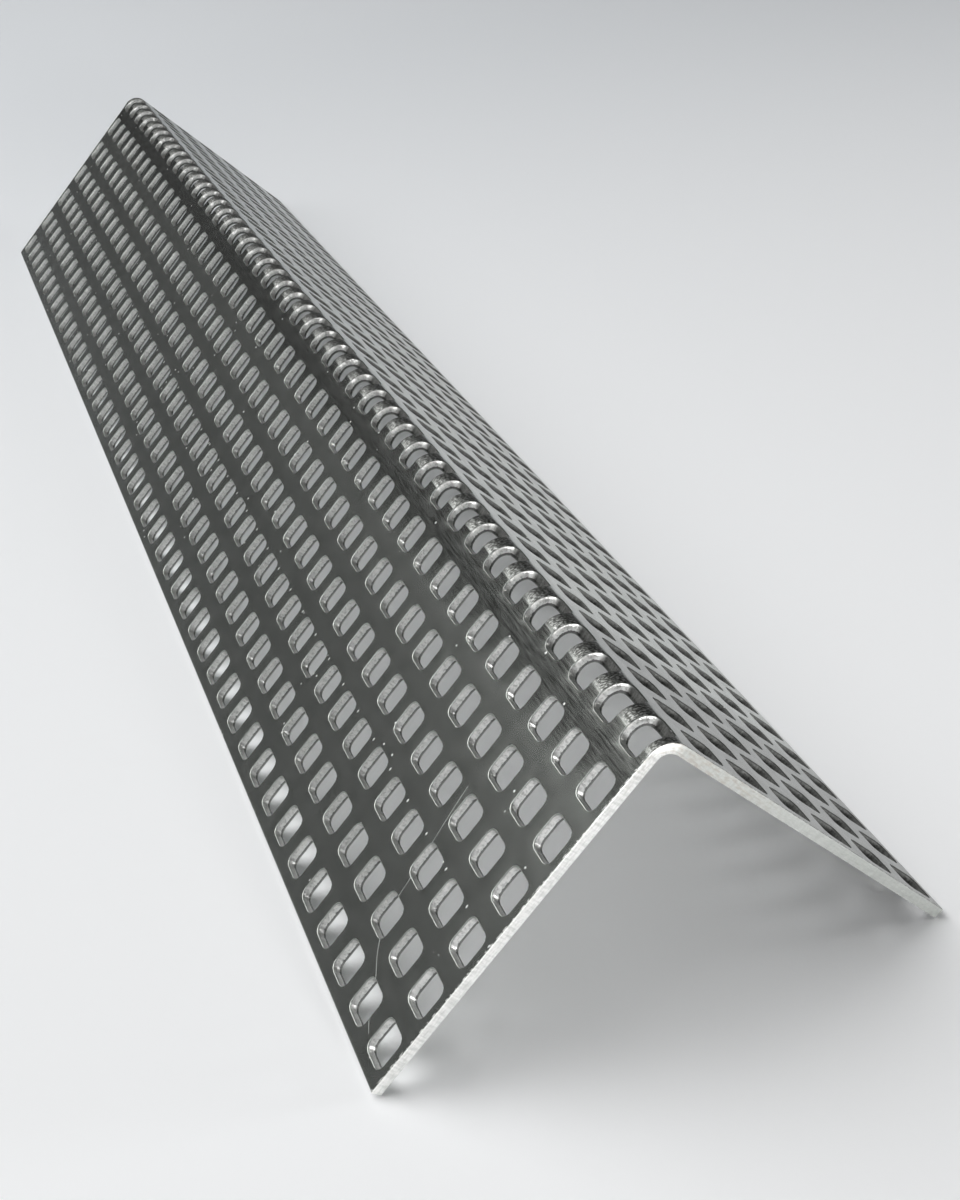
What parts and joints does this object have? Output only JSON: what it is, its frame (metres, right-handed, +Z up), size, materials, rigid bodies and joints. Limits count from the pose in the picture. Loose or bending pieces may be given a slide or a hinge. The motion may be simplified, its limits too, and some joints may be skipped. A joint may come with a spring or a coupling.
{
  "type": "perforated angle",
  "caption": "Right-angle section folded from thin aluminium sheet with square, round-cornered holes in line, the hole pattern running on round the fold.",
  "frame": {"origin": "centre of the base of the box round the part: halfway along it, on the level floor under the fold", "axes": "+X along the fold, away from the end that is nearest in the picture; +Y towards the wider leg, on the left in the picture; +Z up, through the fold"},
  "size_m": [0.36, 0.0756, 0.0375],
  "materials": {
    "aluminium_sheet": "mill finish, semi-bright, with bright punched and sawn edges"
  },
  "bodies": {
    "root": {"perforated_angle": "aluminium_sheet"}
  },
  "joints": []
}
